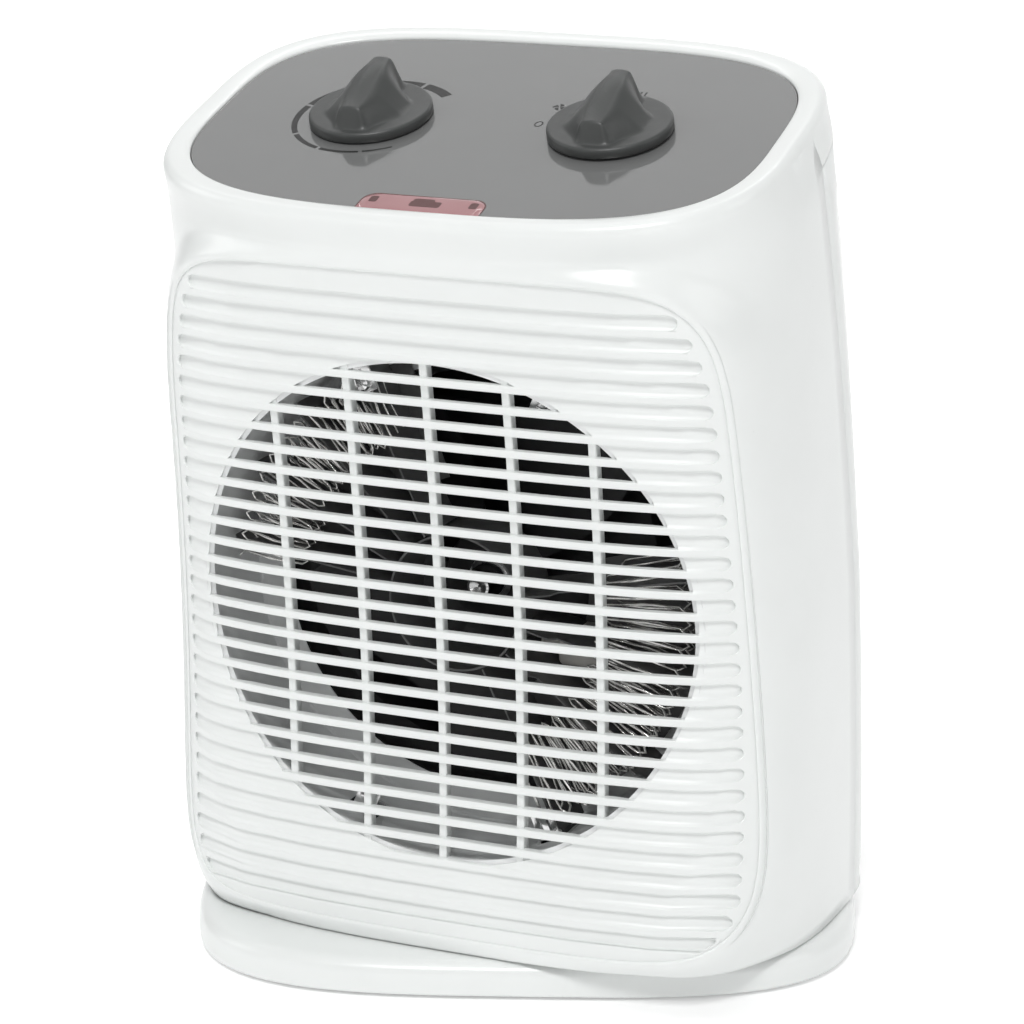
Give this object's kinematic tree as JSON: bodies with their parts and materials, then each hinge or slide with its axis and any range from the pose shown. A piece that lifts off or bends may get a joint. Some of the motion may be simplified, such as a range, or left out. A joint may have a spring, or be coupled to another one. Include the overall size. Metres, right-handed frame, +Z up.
{
  "type": "fan convector heater",
  "caption": "Free-standing fan heater: an upright rounded casing with a slatted front outlet grille, a sloping top with two turn knobs, and an oval base that it swivels on.",
  "frame": {"origin": "on the swivel axis, on the floor under the feet", "axes": "+Z up along the swivel axis, -Y out of the front grille, +X to the right seen from the front"},
  "size_m": [0.2106, 0.177, 0.2696],
  "materials": {
    "white_plastic": "semi-gloss",
    "grey_plastic": "matte",
    "panel_grey": "gloss",
    "knob_grey": "matte",
    "lens_pink": "translucent",
    "lamp_glass": "clear",
    "foot_rubber": "matte",
    "nylon": "satin",
    "black_plastic": "satin",
    "screw_steel": "zinc",
    "shaft_steel": "bright",
    "motor_can": "zinc",
    "motor_core": "laminated",
    "shield_metal": "satin",
    "mica": "pearly",
    "resistance_wire": "drawn",
    "ceramic": "matte",
    "wire_sleeve": "matte"
  },
  "bodies": {
    "base": {"base_shell": "white_plastic", "base_plate": "grey_plastic", "rubber_feet": "foot_rubber", "swivel_ring": "nylon", "base_screws": "screw_steel"},
    "body": {"body_floor": "white_plastic", "swivel_clamp": "screw_steel", "clamp_screws": "screw_steel", "oscillation_motor": "motor_can", "front_shell": "white_plastic", "rear_shell": "white_plastic", "casing_screws": "screw_steel", "front_grille": "white_plastic", "intake_grille": "white_plastic", "control_panel": "panel_grey", "indicator_lens": "lens_pink", "pilot_lamp": "lamp_glass", "thermostat": "ceramic", "rotary_switch": "black_plastic", "heater_duct": "shield_metal", "mica_boards": "mica", "heating_wire": "resistance_wire", "element_brackets": "screw_steel", "thermal_cutout": "ceramic", "fan_motor": "motor_core", "motor_bracket": "black_plastic", "terminal_block": "nylon", "internal_wiring": "wire_sleeve", "cable_gland": "black_plastic", "tilt_switch": "black_plastic"},
    "thermostat_turner": {"thermostat_knob": "knob_grey", "thermostat_shaft": "shaft_steel"},
    "selector_turner": {"selector_knob": "knob_grey", "selector_shaft": "shaft_steel"},
    "fan": {"fan_impeller": "black_plastic", "impeller_nut": "shaft_steel", "motor_shaft": "shaft_steel"},
    "crank": {"crank_disc": "nylon"}
  },
  "joints": [
    {"name": "swing", "type": "hinge", "parent": "base", "child": "body", "pos_m": [0, 0, 0.011], "axis": [0, 0, 1], "range_deg": [-14.3, 55.7]},
    {"name": "crank_spin", "type": "hinge", "parent": "body", "child": "crank", "pos_m": [0, 0.024, 0.0144], "axis": [0, 0, 1], "range_deg": [-198.93, 51.08]},
    {"name": "thermostat_turn", "type": "hinge", "parent": "body", "child": "thermostat_turner", "pos_m": [-0.0371, -0.0302, 0.251], "axis": [0, -0.2984, 0.9544], "range_deg": [-45, 219]},
    {"name": "selector_turn", "type": "hinge", "parent": "body", "child": "selector_turner", "pos_m": [0.0371, -0.0302, 0.251], "axis": [0, -0.2984, 0.9544], "range_deg": [0, 84]},
    {"name": "fan_spin", "type": "hinge", "parent": "body", "child": "fan", "pos_m": [0, -0.02, 0.1152], "axis": [0, 1, 0], "continuous": true}
  ],
  "couplings": [
    {"joint": "crank_spin", "follows": "swing", "ratio": -3.5714}
  ]
}
